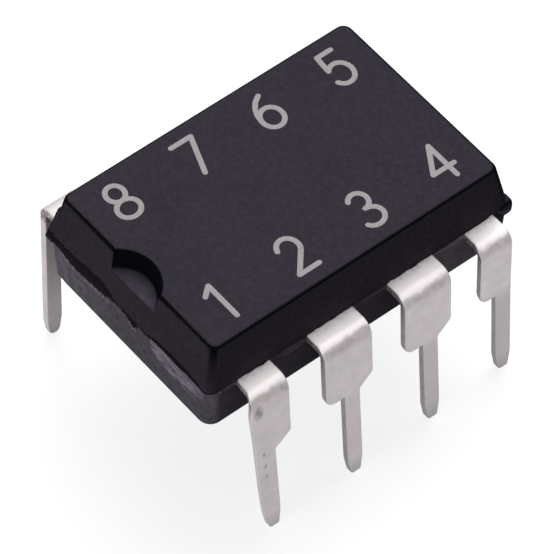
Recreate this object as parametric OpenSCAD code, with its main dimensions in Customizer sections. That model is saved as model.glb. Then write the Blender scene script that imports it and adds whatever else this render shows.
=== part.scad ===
// Eight-lead dual in-line integrated circuit: a two-part epoxy moulding around
// a stamped lead frame, with a silicon die on its paddle and gold bond wires.
// Origin: middle of the footprint, on the plane that the lead tips stand on.
// +X runs along the body to the plain end, so the notch is at -X. +Z is up.
// Leads 1 to 4 are at -Y from the notch on, and leads 5 to 8 run back at +Y.

/* [Lead pattern] */
// Distance between neighbouring leads of a row
pitch = 2.54; // [2.48:0.01:2.6]
// Distance between the middles of the two rows, where the leads turn down
row_spacing = 7.62; // [7.5:0.02:8.2]
// Distance of the lead pattern's middle from the moulding's, towards the plain end
pattern_offset = 0.23; // [0:0.01:0.26]

/* [Leads] */
// Thickness of the lead frame sheet
lead_t = 0.25; // [0.2:0.01:0.3]
// Width of the leg below the shoulder
leg_w = 0.46; // [0.4:0.01:0.52]
// Height of the shoulder's underside over the tips
leg_length = 3.1; // [2.8:0.05:3.4]
// Height of the shoulder, from its underside to the lead's top face
shoulder_h = 2.07; // [1.9:0.01:2.3]
// Width of an inner lead's shoulder
shoulder_w = 1.46; // [1.2:0.02:1.6]
// Distance of an inner lead's leg from its shoulder's middle, towards the plain end
leg_offset = 0.07; // [0:0.01:0.1]
// Distance that the first lead's shoulder reaches lower than the others
long_shoulder_h = 0.2; // [0:0.05:0.3]
// Height of the slanted lower corner of the shoulder
shoulder_slant = 0.35; // [0.2:0.05:0.5]
// Radius of the shoulder's other lower corner
shoulder_r = 0.2; // [0.1:0.01:0.3]
// Outer radius of the bend
bend_r = 0.47; // [0.4:0.01:0.6]
// Angles that leads 1 to 4 lean outwards
near_splay = [4.5, 4.5, 3.5, 2.5]; // [0:0.5:8]
// Angle that leads 5 to 7 lean outwards
far_splay = 4.5; // [0:0.5:8]
// Distances that the tips of leads 1 to 4 are bent towards the plain end
near_sway = [0.05, 0.05, 0.07, 0]; // [0:0.01:0.1]
// Width of the leg at its tip
tip_w = 0.3; // [0.2:0.01:0.4]
// Height over which the leg narrows to its tip
tip_h = 0.55; // [0.3:0.05:0.8]
// Distance that the bent eighth lead stands off its place, towards the notch
bent_shift = 0.6; // [0:0.05:0.65]
// Angle that the bent eighth lead leans outwards
bent_splay = 0.5; // [0:0.5:4]

/* [Inner lead frame] */
// Depth of the full-width root of a lead inside the moulding
root_depth = 0.7; // [0.5:0.05:0.8]
// Radius of the locking hole in each root
lock_r = 0.16; // [0.1:0.01:0.2]
// Width of the inner fingers
finger_w = 0.5; // [0.4:0.01:0.55]
// Clear gap between the fingers' tips and the paddle
finger_gap = 0.25; // [0.15:0.01:0.35]
// Distance of the inner leads' finger tips from the paddle's middle, along its length
inner_tip_x = 0.87; // [0.7:0.01:1]
// Length of the die paddle
paddle_l = 2.6; // [2.2:0.05:2.8]
// Width of the die paddle
paddle_w = 2.4; // [2:0.05:2.5]
// Distance of the paddle's top face below the leads' top faces
paddle_downset = 0.2; // [0.1:0.01:0.3]
// Width of the two tie bars that carry the paddle
tie_w = 0.4; // [0.3:0.01:0.5]
// Thickness of moulding left over each tie bar's cut end
tie_cover = 0.15; // [0.1:0.01:0.3]

/* [Die and wires] */
// Length of the silicon die
die_l = 1.5; // [1.2:0.05:1.7]
// Width of the silicon die
die_w = 1.3; // [1:0.05:1.5]
// Thickness of the silicon die
die_t = 0.28; // [0.2:0.01:0.35]
// Thickness of the die attach layer
attach_t = 0.03; // [0.02:0.005:0.05]
// Reach of the die attach layer past the die's edges
attach_rim = 0.08; // [0.04:0.01:0.12]
// Radius of the bond wires
wire_r = 0.015; // [0.012:0.001:0.02]
// Radius of the ball at a wire's foot on the die
ball_r = 0.04; // [0.03:0.005:0.05]
// Distance of the wires' feet from the die's edge
pad_inset = 0.12; // [0.08:0.01:0.16]
// Distance of the corner leads' pads from the die's middle, along its width
corner_pad_y = 0.26; // [0.2:0.01:0.4]
// Distance of the inner leads' pads from the die's middle, along its length
inner_pad_x = 0.25; // [0.2:0.01:0.4]
// Rise of the wires over the die
wire_rise = 0.5; // [0.3:0.05:0.6]
// Share of a wire's reach at which it turns down flat to its finger
wire_flat = 0.6; // [0.5:0.05:0.7]

/* [Moulding] */
// Length at the parting line
body_length = 9.55; // [9.3:0.05:10.2]
// Width at the parting line
body_width = 6.3; // [6.1:0.05:6.6]
// Height of the half above the parting line
upper_h = 1.45; // [1.3:0.05:1.8]
// Height of the half below the parting line
lower_h = 1.63; // [1.4:0.01:1.8]
// Draft angle of the upper half's ends
upper_end_draft = 12; // [5:0.5:15]
// Draft angle of the upper half's sides
upper_side_draft = 7; // [3:0.5:10]
// Draft angle of the lower half's ends
lower_end_draft = 5; // [2:0.5:10]
// Draft angle of the lower half's sides
lower_side_draft = 3.5; // [2:0.5:8]
// Distance that the lower half stands in from the upper at the parting line
parting_step = 0.05; // [0.02:0.01:0.1]
// Radius of the upper half's upright corners
upper_corner_r = 0.26; // [0.2:0.01:0.35]
// Radius of the lower half's upright corners
lower_corner_r = 0.36; // [0.25:0.01:0.45]
// Radius of the edges round the top face and the underside
edge_r = 0.12; // [0.06:0.01:0.18]
// Reach of the flash strips between the leads past the parting line
flash_reach = 0.06; // [0.03:0.01:0.1]

/* [Notch and marks] */
// Width of the notch at the end of the top face
notch_w = 1.76; // [1.4:0.02:2]
// Reach of the notch into the top face
notch_reach = 0.48; // [0.4:0.01:0.7]
// Depth of the notch
notch_depth = 0.58; // [0.4:0.02:0.8]
// Draft angle of the notch's wall
notch_draft = 9; // [3:1:12]
// Radius of the two ejector marks on the underside
ejector_r = 0.6; // [0.4:0.05:0.8]
// Depth of the ejector marks
ejector_depth = 0.05; // [0.03:0.01:0.1]
// Distance of the ejector marks from the middle
ejector_x = 2.4; // [1.5:0.1:3]

/* [Hidden] */
$fn = 64;
// Length that tools for cuts run past the faces they cut
past = 1;
// Thickness of the slices that the moulding's halves are blended from
slice = 0.002;

// Heights over the tips
parting_z = leg_length + shoulder_h;
body_top = parting_z + upper_h;
body_bottom = parting_z - lower_h;
paddle_z = parting_z - paddle_downset - lead_t;
attach_z = paddle_z + lead_t;
die_z = attach_z + attach_t;
die_top = die_z + die_t;

// Distances from the middle, along Y, of a lead's outer face, its bend's centre and its root
row_y = row_spacing / 2 + lead_t / 2;
bend_y = row_y - bend_r;
bend_z = parting_z - bend_r;
root_y = body_width / 2 - root_depth;

// Radius of the notch at the top face
notch_r = (pow(notch_w / 2, 2) + pow(notch_reach, 2)) / (2 * notch_reach);

// Middle of a lead along X: leads 1 to 4 run to +X, and leads 5 to 8 run back
function column(n) = n <= 4 ? n - 1 : 8 - n;
function lead_x(n) = pattern_offset + (column(n) - 1.5) * pitch;
// 1 at the far row and -1 at the near row
function row_side(n) = n <= 4 ? -1 : 1;
// -1 at the notched half and 1 at the plain half
function end_side(n) = column(n) < 2 ? -1 : 1;
function is_corner(n) = column(n) == 0 || column(n) == 3;
// A corner lead has its shoulder only on the side towards the middle
function reach_left(n) = column(n) == 0 ? leg_w / 2 : shoulder_w / 2;
function reach_right(n) = column(n) == 3 ? leg_w / 2 : shoulder_w / 2;
// How a lead stands: off its place, leaning outwards, and bent sideways at its tip
function shift(n) = n == 8 ? -bent_shift : 0;
function lean(n) = n <= 4 ? near_splay[n - 1] : n == 8 ? bent_splay : far_splay;
function sway(n) = n <= 4 ? near_sway[n - 1] : 0;
// Middle of the leg and height of the shoulder's underside
function leg_x(n) = is_corner(n) ? 0 : leg_offset;
function seat_z(n) = leg_length - (n == 1 ? long_shoulder_h : 0);

// Tip of a lead's finger, beside the paddle's end or its long side, on the far row's side
function tip_point(n) = is_corner(n)
    ? [pattern_offset + end_side(n) * (paddle_l / 2 + finger_gap + finger_w / 2),
       tie_w / 2 + finger_gap + finger_w / 2]
    : [pattern_offset + end_side(n) * inner_tip_x, paddle_w / 2 + finger_gap + finger_w / 2];
// Knee of a lead's finger
function knee_point(n) = is_corner(n)
    ? [lead_x(n) - end_side(n) * finger_w, tip_point(n)[1] + finger_w]
    : [lead_x(n), tip_point(n)[1] + finger_w];
// Middle of a lead's root
function root_x(n) = lead_x(n) + shift(n) + (reach_right(n) - reach_left(n)) / 2;

// A bar of the finger, drawn flat between two points
module bar(from, to) {
    run = to - from;
    translate(from)
        rotate(atan2(run[1], run[0]))
            translate([0, -finger_w / 2])
                square([norm(run), finger_w]);
}

// Section of a lead across the row: outwards along X, up along Y
module lead_section(angle) {
    translate([root_y, parting_z - lead_t])
        square([bend_y - root_y, lead_t]);
    translate([bend_y, bend_z])
        intersection() {
            difference() {
                circle(bend_r);
                circle(bend_r - lead_t);
            }
            polygon([[0, 0], [0, 2 * bend_r], [2 * bend_r, 2 * bend_r],
                     2 * bend_r * [cos(angle), -sin(angle)]]);
        }
    intersection() {
        translate([bend_y, bend_z])
            rotate(angle)
                translate([bend_r - lead_t, -bend_z - past])
                    square([lead_t, bend_z + past]);
        translate([bend_y, 0])
            square([row_y, parting_z]);
    }
}

// Front of a lead: its shoulder and its leg with the tapered tip
module lead_front(n) {
    left = reach_left(n);
    right = reach_right(n);
    half = leg_w / 2;
    seat = seat_z(n);
    leg = leg_x(n);
    tip = leg + sway(n);
    // Middle of the leg where it starts to narrow
    neck = tip - sway(n) * tip_h / seat;
    round_steps = 6;
    left_corner = left > half
        ? [for (k = [0:round_steps])
               [-left + shoulder_r - shoulder_r * cos(90 * k / round_steps),
                seat + shoulder_r - shoulder_r * sin(90 * k / round_steps)]]
        : [];
    right_corner = right > half ? [[right, seat + shoulder_slant]] : [];
    polygon(concat(
        [[-left, parting_z + past]],
        left_corner,
        [[leg - half, seat], [neck - half, tip_h], [tip - tip_w / 2, 0],
         [tip + tip_w / 2, 0], [neck + half, tip_h], [leg + half, seat]],
        right_corner,
        [[right, parting_z + past]]));
}

// Plan of a lead's finger on the far row's side
module finger_plan(n) {
    root = [root_x(n), root_y + finger_w];
    knee = knee_point(n);
    tip = tip_point(n);
    entry = [root_x(n), knee[1]];
    bar(root, is_corner(n) ? entry : knee);
    if (is_corner(n)) {
        translate(entry)
            circle(d = finger_w);
        bar(entry, knee);
    }
    translate(knee)
        circle(d = finger_w);
    bar(knee, tip);
    translate(tip)
        circle(d = finger_w);
}

// Lead n as one stamped and bent piece, built at the far row and mirrored to its own
module lead(n) {
    color([0.79, 0.78, 0.78])
        mirror([0, row_side(n) < 0 ? 1 : 0, 0])
            difference() {
                union() {
                    intersection() {
                        translate([lead_x(n) + shift(n) - pitch / 2, 0, 0])
                            rotate([90, 0, 90])
                                linear_extrude(pitch)
                                    lead_section(lean(n));
                        translate([lead_x(n) + shift(n), 2 * row_y, 0])
                            rotate([90, 0, 0])
                                linear_extrude(2 * row_y)
                                    lead_front(n);
                    }
                    translate([0, 0, parting_z - lead_t])
                        linear_extrude(lead_t)
                            finger_plan(n);
                }
                translate([root_x(n), root_y + root_depth / 2, parting_z - lead_t - past])
                    cylinder(r = lock_r, h = lead_t + 2 * past);
            }
}

// Half length of the lower half at the parting line
lower_end = body_length / 2 - parting_step;

// Paddle with its two tie bars, set down below the leads' plane
module die_paddle() {
    step_run = paddle_downset;
    tie_end = lower_end - lead_t * tan(lower_end_draft) - tie_cover;
    left_step = pattern_offset - paddle_l / 2 - finger_w;
    right_step = pattern_offset + paddle_l / 2 + finger_w;
    low = paddle_z;
    high = parting_z - lead_t;
    underside = [[-tie_end, high], [left_step - step_run, high], [left_step, low],
                 [right_step, low], [right_step + step_run, high], [tie_end, high]];
    topside = [for (k = [len(underside) - 1:-1:0]) underside[k] + [0, lead_t]];
    color([0.76, 0.6, 0.46])
        intersection() {
            translate([0, paddle_w / 2 + past, 0])
                rotate([90, 0, 0])
                    linear_extrude(paddle_w + 2 * past)
                        polygon(concat(underside, topside));
            translate([0, 0, paddle_z - past])
                linear_extrude(lead_t + paddle_downset + 2 * past) {
                    translate([pattern_offset - paddle_l / 2, -paddle_w / 2])
                        square([paddle_l, paddle_w]);
                    translate([-tie_end, -tie_w / 2])
                        square([2 * tie_end, tie_w]);
                }
        }
}

module die_attach() {
    size = [die_l + 2 * attach_rim, die_w + 2 * attach_rim];
    color([0.62, 0.62, 0.6])
        translate([pattern_offset - size[0] / 2, -size[1] / 2, attach_z])
            cube([size[0], size[1], attach_t]);
}

module silicon_die() {
    color([0.36, 0.38, 0.45])
        translate([pattern_offset - die_l / 2, -die_w / 2, die_z])
            cube([die_l, die_w, die_t]);
}

// Foot of a wire on the die, beside its own finger, on the far row's side
function wire_foot(n) = is_corner(n)
    ? [pattern_offset + end_side(n) * (die_l / 2 - pad_inset), corner_pad_y]
    : [pattern_offset + end_side(n) * inner_pad_x, die_w / 2 - pad_inset];

// Point of a cubic curve through a wire's upright plane: along the wire, and up
function curve(p, t) = pow(1 - t, 3) * p[0] + 3 * pow(1 - t, 2) * t * p[1]
    + 3 * (1 - t) * t * t * p[2] + pow(t, 3) * p[3];
function curve_run(p, t) = 3 * pow(1 - t, 2) * (p[1] - p[0]) + 6 * (1 - t) * t * (p[2] - p[1])
    + 3 * t * t * (p[3] - p[2]);

// Bond wire n: a six-sided tube from its ball on the die to its stitch on the finger
module bond_wire(n) {
    sides = 6;
    rings = 12;
    foot = wire_foot(n);
    tip = tip_point(n);
    run = tip - foot;
    reach = norm(run);
    // Half the height of the tube, which has a flat side down on the finger
    flat = wire_r * cos(180 / sides);
    arch = [[0, die_top], [0, die_top + wire_rise], [wire_flat * reach, parting_z + flat],
            [reach, parting_z + flat]];
    // Each ring: its middle along the wire and up, its direction and its radius
    ball_rings = [[[0, die_top], 90, ball_r], [[0, die_top + ball_r / 2], 90, ball_r],
                  [[0, die_top + ball_r], 90, wire_r]];
    arch_rings = [for (k = [1:rings])
        let (t = k / rings, d = curve_run(arch, t))
            [curve(arch, t), k == rings ? 0 : atan2(d[1], d[0]), wire_r]];
    all_rings = concat(ball_rings, arch_rings);
    points = [for (ring = all_rings) for (s = [0:sides - 1])
        let (a = 360 * s / sides, across = ring[2] * cos(a), over = ring[2] * sin(a),
             along = ring[0][0] - over * sin(ring[1]), up = ring[0][1] + over * cos(ring[1]))
            [foot[0] + (run[0] * along - run[1] * across) / reach,
             foot[1] + (run[1] * along + run[0] * across) / reach, up]];
    last = len(all_rings) - 1;
    walls = [for (j = [0:last - 1]) for (s = [0:sides - 1])
        let (a = j * sides + s, b = j * sides + (s + 1) % sides)
            for (face = [[a, b + sides, b], [a, a + sides, b + sides]]) face];
    ends = [[for (s = [0:sides - 1]) s],
            [for (s = [sides - 1:-1:0]) last * sides + s]];
    color([0.92, 0.74, 0.34])
        mirror([0, row_side(n) < 0 ? 1 : 0, 0])
            polyhedron(points, concat(walls, ends));
}

// One half of the moulding, blended from slices: face_z is its outer face
module half_moulding(length, width, face_z, corner_r, end_draft, side_draft) {
    height = abs(face_z - parting_z);
    up = sign(face_z - parting_z);
    edge_steps = 3;
    levels = concat([[0, 0]], [for (k = [0:edge_steps])
        let (a = 90 * k / edge_steps) [height - edge_r + edge_r * sin(a), edge_r * (1 - cos(a))]]);
    hull()
        for (level = levels) {
            r = corner_r - level[1];
            half_l = length / 2 - level[0] * tan(end_draft) - level[1] - r;
            half_w = width / 2 - level[0] * tan(side_draft) - level[1] - r;
            inner = level[0] > 0 ? -slice : 0;
            for (sx = [-1, 1], sy = [-1, 1])
                translate([sx * half_l, sy * half_w,
                           parting_z + up * (level[0] + inner) - (up < 0 ? slice : 0)])
                    cylinder(r = r, h = slice, $fn = 32);
        }
}

// Flash between the leads, as thick as they are and just under the parting line
module flash_strips() {
    reach = body_width / 2 + flash_reach;
    half = 1.5 * pitch;
    translate([pattern_offset - half, -reach, parting_z - lead_t])
        cube([2 * half, 2 * reach, lead_t]);
}

// Round notch in the top edge of one end, whose middle lies outside that edge
module notch() {
    top_end = body_length / 2 - upper_h * tan(upper_end_draft);
    translate([notch_reach - notch_r - top_end, 0, body_top - notch_depth])
        cylinder(r1 = notch_r - notch_depth * tan(notch_draft),
                 r2 = notch_r + past * tan(notch_draft), h = notch_depth + past);
}

module moulded_body() {
    color([0.14, 0.135, 0.15])
        difference() {
            union() {
                half_moulding(body_length, body_width, body_top, upper_corner_r,
                              upper_end_draft, upper_side_draft);
                half_moulding(2 * lower_end, body_width - 2 * parting_step, body_bottom,
                              lower_corner_r, lower_end_draft, lower_side_draft);
                flash_strips();
            }
            notch();
            for (sx = [-1, 1])
                translate([sx * ejector_x, 0, body_bottom - past])
                    cylinder(r = ejector_r, h = past + ejector_depth);
            for (n = [1:8])
                lead(n);
            die_paddle();
            die_attach();
            silicon_die();
            for (n = [1:7])
                bond_wire(n);
        }
}

moulded_body();
lead(1);  // lead_1
lead(2);  // lead_2
lead(3);  // lead_3
lead(4);  // lead_4
lead(5);  // lead_5
lead(6);  // lead_6
lead(7);  // lead_7
lead(8);  // lead_8
die_paddle();
die_attach();
silicon_die();
bond_wire(1);  // bond_wire_1
bond_wire(2);  // bond_wire_2
bond_wire(3);  // bond_wire_3
bond_wire(4);  // bond_wire_4
bond_wire(5);  // bond_wire_5
bond_wire(6);  // bond_wire_6
bond_wire(7);  // bond_wire_7
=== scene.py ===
"""Looks of an eight-lead dual in-line integrated circuit, built round its fixed frame."""

import math

import bmesh
import bpy
from bpy.props import FloatProperty, FloatVectorProperty, PointerProperty
from mathutils import Matrix, Vector, noise


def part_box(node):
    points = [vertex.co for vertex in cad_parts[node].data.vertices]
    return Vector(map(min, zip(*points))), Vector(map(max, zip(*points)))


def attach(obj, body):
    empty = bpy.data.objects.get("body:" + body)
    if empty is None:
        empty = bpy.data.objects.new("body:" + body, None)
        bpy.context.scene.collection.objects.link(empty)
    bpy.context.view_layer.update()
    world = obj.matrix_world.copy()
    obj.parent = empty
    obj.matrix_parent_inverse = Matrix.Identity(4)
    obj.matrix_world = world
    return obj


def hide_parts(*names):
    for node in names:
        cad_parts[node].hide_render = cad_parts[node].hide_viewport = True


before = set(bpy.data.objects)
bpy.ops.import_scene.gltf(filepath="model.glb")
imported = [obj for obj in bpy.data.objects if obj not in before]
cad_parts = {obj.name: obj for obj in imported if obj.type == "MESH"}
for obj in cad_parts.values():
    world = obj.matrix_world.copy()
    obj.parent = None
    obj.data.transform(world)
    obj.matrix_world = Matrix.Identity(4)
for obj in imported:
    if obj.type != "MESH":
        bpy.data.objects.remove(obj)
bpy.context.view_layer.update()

bl_info = {
    "name": "Dual In-line Chip",
    "version": (1, 0, 0),
    "blender": (4, 5, 0),
    "location": "3D View > Sidebar > Chip",
    "description": "Builds the moulding, leads, numbers and studio of an eight-lead chip",
    "category": "Add Mesh",
}

# One millimetre in the scene's metres
MM = 0.001
# Places that the frame gives
BODY_LOW, BODY_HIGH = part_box("moulded_body")
PARTING_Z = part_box("lead_2")[1].z
LEAD_NUMBERS = range(1, 9)
PITCH = sum((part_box("lead_3")[i].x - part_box("lead_2")[i].x) / 2 for i in (0, 1))
LEAD_2_X = sum(corner.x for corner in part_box("lead_2")) / 2
PATTERN_X = LEAD_2_X + PITCH / 2
SHOULDER_HALF = (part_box("lead_2")[1].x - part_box("lead_2")[0].x) / 2
INNER_PIECES = ["die_paddle", "die_attach", "silicon_die"]
INNER_PIECES += [f"bond_wire_{n}" for n in range(1, 8)]
# Reach of the flash past the moulding's sides, in millimetres, which the frame's box takes in
FLASH = 0.06
# Width of the photograph's frame, and of the camera's sensor in millimetres
FRAME_PIXELS = 554
SENSOR = 36.0


def length(name, description, millimetres):
    """A size that a user can change, shown in scene units."""
    return FloatProperty(name=name, description=description, default=millimetres * MM,
                         min=0.0, precision=6, unit="LENGTH", subtype="DISTANCE")


def lengths(name, description, millimetres):
    """A size for each of leads 1 to 4."""
    return FloatVectorProperty(name=name, description=description, size=4, precision=6,
                               default=[value * MM for value in millimetres], unit="LENGTH")


def angles(name, description, degrees):
    """An angle for each of leads 1 to 4."""
    return FloatVectorProperty(name=name, description=description, size=4,
                               default=[math.radians(value) for value in degrees],
                               unit="ROTATION")


def angle(name, description, degrees):
    """An angle that a user can change."""
    return FloatProperty(name=name, description=description, default=math.radians(degrees),
                         unit="ROTATION", subtype="ANGLE")


def position(name, description, metres):
    """A point that a user can change."""
    return FloatVectorProperty(name=name, description=description, default=metres, size=3,
                               precision=6, subtype="TRANSLATION")


def colour(name, description, value):
    """A finish colour that a user can change."""
    return FloatVectorProperty(name=name, description=description, default=value, size=3,
                               min=0.0, max=1.0, subtype="COLOR")


class ChipMoulding(bpy.types.PropertyGroup):
    """Sizes of the moulding's two halves, its notch and its flash"""

    upper_end_draft: angle("Upper end draft", "Slope of the upper half's ends", 12)
    upper_side_draft: angle("Upper side draft", "Slope of the upper half's sides", 7)
    lower_end_draft: angle("Lower end draft", "Slope of the lower half's ends", 3)
    lower_side_draft: angle("Lower side draft", "Slope of the lower half's sides", 3.5)
    parting_step: length("Parting step", "How far the lower half stands in", 0.05)
    upper_corner: length("Upper corner", "Radius of the upper half's corners", 0.26)
    lower_corner: length("Lower corner", "Radius of the lower half's corners", 0.36)
    edge: length("Edge", "Radius round the top face and the underside", 0.12)
    notch_width: length("Notch width", "Width of the notch at the end of the top face", 1.76)
    notch_reach: length("Notch reach", "Reach of the notch into the top face", 0.48)
    notch_depth: length("Notch depth", "Depth of the notch", 0.58)
    notch_draft: angle("Notch draft", "Slope of the notch's wall", 9)
    notch_rim: length("Notch rim", "Rounding of the notch's rim", 0.08)
    flash: length("Flash reach", "Reach of the flash past the parting line", FLASH)
    ejector_radius: length("Ejector radius", "Radius of the marks on the underside", 0.6)
    ejector_depth: length("Ejector depth", "Depth of the marks on the underside", 0.05)
    ejector_x: length("Ejector place", "Distance of the marks from the middle", 2.4)


class ChipLeads(bpy.types.PropertyGroup):
    """Sizes of the stamped and bent leads"""

    thickness: length("Thickness", "Thickness of the lead frame sheet", 0.25)
    leg_width: length("Leg width", "Width of the leg below the shoulder", 0.46)
    leg_length: length("Leg length", "Height of the shoulder's underside", 3.1)
    slant: length("Shoulder slant", "Height of the slanted lower corner", 0.35)
    corner: length("Shoulder corner", "Radius of the other lower corner", 0.3)
    leg_offset: length("Leg offset", "Distance of an inner leg from its shoulder's middle", 0.07)
    long_shoulder: length("Long shoulder", "How much lower the first lead's shoulder is", 0.2)
    bend: length("Bend radius", "Outer radius of the bend", 0.38)
    row_spacing: length("Row spacing", "Distance between the rows' middles", 7.62)
    near_splay: angles("Near splay", "Outward leans of leads 1 to 4", (4.5, 4.5, 3.5, 2.5))
    near_sway: lengths("Near sway", "Sideways bends of the tips of leads 1 to 4",
                       (0.05, 0.05, 0.07, 0))
    near_skew: lengths("Near skew", "Sideways bends of the shoulders of leads 1 to 4",
                       (-0.03, 0.02, 0, -0.075))
    far_splay: angle("Far splay", "Outward lean of leads 5 to 7", 4.5)
    burr: length("Burr", "What the cut dam bar left on the first lead's outer edge", 0.16)
    cut_slope: lengths("Cut slope", "How far the left edges of leads 1 to 4 are cut aslant",
                       (0.09, 0.03, 0.03, 0.06))
    bent_splay: angle("Bent splay", "Outward lean of the bent eighth lead", 0.5)
    bent_rise: length("Bent rise", "How far the eighth lead's bend stands up", 0.15)
    tip_width: length("Tip width", "Width of the leg at its tip", 0.3)
    tip_taper: length("Tip taper", "Height of the leg's tapered end", 0.55)
    root_depth: length("Root depth", "Depth of the root inside the moulding", 0.7)
    finger_width: length("Finger width", "Width of the inner fingers", 0.5)
    finger_gap: length("Finger gap", "Gap between the fingers and the paddle", 0.25)
    inner_tip: length("Inner tip", "Distance of the inner finger tips from the middle", 0.87)
    tie_width: length("Tie width", "Width of the paddle's tie bars", 0.4)
    paddle_length: length("Paddle length", "Length of the paddle without its tie bars", 2.6)
    rolled_edge: length("Rolled edge", "Rounding that the stamping leaves", 0.05)


class ChipFinish(bpy.types.PropertyGroup):
    """Colours of the finishes"""

    compound: colour("Moulding compound", "Colour of the black moulding", (0.0375, 0.0325, 0.0435))
    # Also the colour of the painted highlights on the flash and of the painted floor reflection on
    # the notched end's lower half
    scuff_and_highlight: colour("Scuffed compound", "Colour of broken or rubbed moulding", (0.29, 0.262, 0.318))
    tin: colour("Tin plate", "Colour of the plated leads", (0.61, 0.565, 0.58))
    # Painted highlight on the bends
    bend_highlight: colour("Burnished tin", "Colour of the plate on the bends", (0.8, 0.757, 0.762))
    # Also painted as shade on the leads' cut edges and inner side
    sheared_and_shade: colour("Sheared tin", "Colour of the leads' cut edges", (0.34, 0.32, 0.33))
    # Also the painted dark reflection band under the bend highlight
    stain_and_shade: colour("Stain", "Colour of the spots on the leads", (0.16, 0.14, 0.135))
    residue: colour("Residue", "Colour of the moulding left on the leads", (0.05, 0.04, 0.035))
    ink: colour("Ink", "Colour of the printed numbers", (0.37, 0.35, 0.355))
    copper: colour("Copper alloy", "Colour of the bare paddle", (0.72, 0.43, 0.28))
    silicon: colour("Silicon", "Colour of the die", (0.1, 0.11, 0.16))
    silver: colour("Silver epoxy", "Colour of the die attach", (0.5, 0.5, 0.48))
    gold: colour("Gold", "Colour of the bond wires", (0.9, 0.62, 0.2))


class ChipPrint(bpy.types.PropertyGroup):
    """Sizes of the printed lead numbers"""

    height: length("Height", "Height of a number", 1.1)
    stroke: length("Stroke", "Width of a printed stroke", 0.14)
    layer: length("Layer", "Thickness of the ink", 0.006)
    spacing: length("Spacing", "Distance between numbers of a row", 2.25)
    margin: length("Margin", "Distance of a row's feet from the face's edge", 0.5)


class ChipStudio(bpy.types.PropertyGroup):
    """Camera, lamps and floor"""

    azimuth: angle("Azimuth", "Direction of the camera round the chip", -40.35)
    elevation: angle("Elevation", "Height of the camera over the horizon", 53.02)
    roll: angle("Roll", "Turn of the camera about its own axis", -1.59)
    distance: length("Distance", "Distance of the camera from its target", 125.07)
    focal_pixels: FloatProperty(name="Focal length in pixels", default=5056.2,
                                description="Focal length in pixels of the 554 pixel frame")
    target: position("Target", "Point that the camera looks at",
                     (-0.367 * MM, -0.387 * MM, 3.487 * MM))
    floor_size: length("Floor size", "Side of the square floor", 400)
    floor_tone: FloatProperty(name="Floor tone", default=0.32, min=0.0, max=1.0,
                              description="How light the floor itself is")
    floor_lift: FloatProperty(name="Floor lift", default=0.82, min=0.0, max=1.0,
                              description="White that only the camera and mirrors see on the floor")
    sky: FloatProperty(name="Sky", default=0.12, min=0.0, max=1.0,
                       description="Light of the world on the chip")
    key_place: position("Key place", "Place of the large softbox", (0.088, 0.08, 0.185))
    key_size: length("Key size", "Side of the large softbox", 200)
    key_power: FloatProperty(name="Key power", default=0.47, min=0.0, precision=3,
                             description="Power of the large softbox", unit="POWER")
    fill_place: position("Fill place", "Place of the low softbox", (-0.2, -0.03, 0.07))
    fill_size: length("Fill size", "Side of the low softbox", 120)
    fill_power: FloatProperty(name="Fill power", default=0.15, min=0.0, precision=3,
                              description="Power of the low softbox beside the notch", unit="POWER")


def finish_object(name, mesh, material, node=None, smooth_angle=30):
    """Links a mesh as a piece of the chip, with its finish, body and node."""
    obj = bpy.data.objects.new(name, mesh)
    bpy.context.scene.collection.objects.link(obj)
    mesh.materials.clear()
    mesh.materials.append(material)
    mesh.shade_smooth()
    mesh.set_sharp_from_angle(angle=math.radians(smooth_angle))
    weighted = obj.modifiers.new("Weighted Normals", "WEIGHTED_NORMAL")
    weighted.keep_sharp = True
    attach(obj, "root")
    if node:
        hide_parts(node)
    return obj


def mesh_from(bm, name):
    """Ends a bmesh as a mesh whose faces point outwards."""
    bmesh.ops.recalc_face_normals(bm, faces=bm.faces)
    mesh = bpy.data.meshes.new(name)
    bm.to_mesh(mesh)
    bm.free()
    return mesh


def combined(base, tool, operation):
    """Boolean of two meshes as a new mesh."""
    scene = bpy.context.scene
    target = bpy.data.objects.new("boolean_target", base)
    cutter = bpy.data.objects.new("boolean_tool", tool)
    for obj in (target, cutter):
        scene.collection.objects.link(obj)
    boolean = target.modifiers.new("Boolean", "BOOLEAN")
    boolean.operation = operation
    boolean.solver = "EXACT"
    boolean.object = cutter
    graph = bpy.context.evaluated_depsgraph_get()
    result = bpy.data.meshes.new_from_object(target.evaluated_get(graph))
    for obj in (target, cutter):
        mesh = obj.data
        bpy.data.objects.remove(obj)
        bpy.data.meshes.remove(mesh)
    return result


def bevelled(bm, edges, offset, segments):
    """Rounds edges of a bmesh."""
    return bmesh.ops.bevel(bm, geom=list(edges), offset=offset, offset_type="OFFSET",
                           segments=segments, profile=0.5, affect="EDGES", material=-1)


def block(size, middle):
    """Box of a size about its middle, as a bmesh."""
    bm = bmesh.new()
    bmesh.ops.create_cube(bm, size=1.0)
    bmesh.ops.scale(bm, vec=size, verts=bm.verts)
    bmesh.ops.translate(bm, vec=middle, verts=bm.verts)
    return bm


def thickened(bm):
    """Closes a flat sheet by a second copy of its faces, whose vertices it gives."""
    grown = bmesh.ops.extrude_face_region(bm, geom=bm.faces[:])
    return [g for g in grown["geom"] if isinstance(g, bmesh.types.BMVert)]


def slice_at(bm, place, normal):
    """Cuts all faces of a bmesh where they cross a plane."""
    bmesh.ops.bisect_plane(bm, geom=bm.verts[:] + bm.edges[:] + bm.faces[:], plane_co=place,
                           plane_no=normal)


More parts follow.
